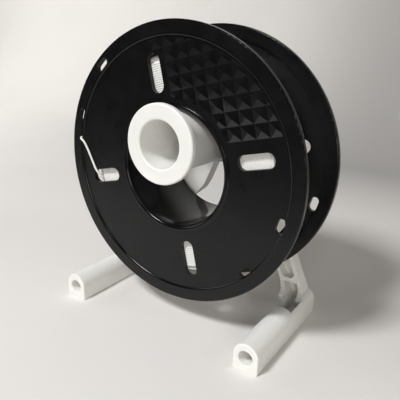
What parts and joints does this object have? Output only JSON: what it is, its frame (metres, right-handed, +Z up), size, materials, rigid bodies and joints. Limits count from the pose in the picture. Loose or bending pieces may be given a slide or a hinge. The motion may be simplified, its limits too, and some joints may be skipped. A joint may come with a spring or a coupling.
{
  "type": "spool holder stand",
  "caption": "Free-standing printed A-frame stand with a lipped hollow arm that carries a loaded filament spool, which spins freely between the two feet.",
  "frame": {"origin": "on the floor under the middle of the stand's footprint, midway between the feet", "axes": "+X to the right of someone facing the open end of the arm, +Y to the rear frame, +Z up"},
  "size_m": [0.201, 0.0992, 0.2199],
  "materials": {
    "printed_white": "satin, printed in fine layers",
    "spool_black": "moulded, satin with a glossy bore",
    "filament_white": "satin wound filament",
    "steel": "satin"
  },
  "bodies": {
    "stand": {"rear_frame": "printed_white", "right_foot": "printed_white", "left_foot": "printed_white", "spool_arm": "printed_white", "foot_screws": "steel", "arm_screw": "steel", "washers": "steel", "nuts": "steel"},
    "spool": {"front_flange": "spool_black", "rear_flange": "spool_black", "core_drum": "spool_black", "filament_winding": "filament_white", "filament_tail": "filament_white"}
  },
  "joints": [
    {"name": "spool_spin", "type": "hinge", "parent": "stand", "child": "spool", "pos_m": [0, 0.0056, 0.11945], "axis": [0, 1, 0], "continuous": true}
  ]
}
